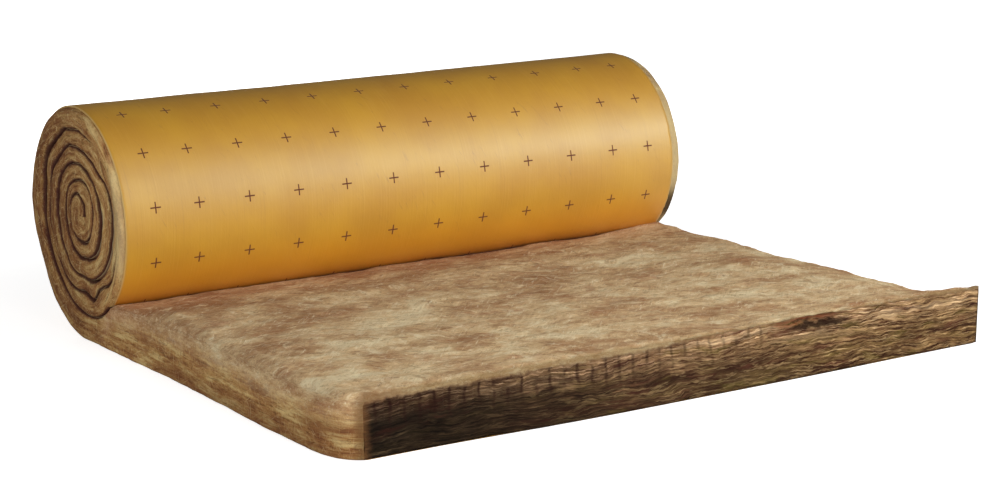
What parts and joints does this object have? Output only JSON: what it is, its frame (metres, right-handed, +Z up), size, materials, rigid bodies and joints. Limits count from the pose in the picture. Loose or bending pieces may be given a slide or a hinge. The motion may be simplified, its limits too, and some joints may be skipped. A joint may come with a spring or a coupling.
{
  "type": "insulation roll",
  "caption": "Partly unrolled roll of faced glass-wool insulation: a soft brown mat with an amber facing, its free end lying flat in front of the roll.",
  "frame": {"origin": "bottom centre of the bounding box, on the underside of the flat mat's facing", "axes": "+X along the roll's axis and across the mat's width, +Y from the mat's cut end towards the roll, +Z up"},
  "size_m": [1.26, 1.2, 0.424],
  "materials": {
    "glass_wool": "matt, fibrous, mottled brown",
    "facing": "satin amber kraft facing with small printed register crosses"
  },
  "bodies": {
    "root": {"wool_mat": "glass_wool", "facing": "facing"}
  },
  "joints": []
}
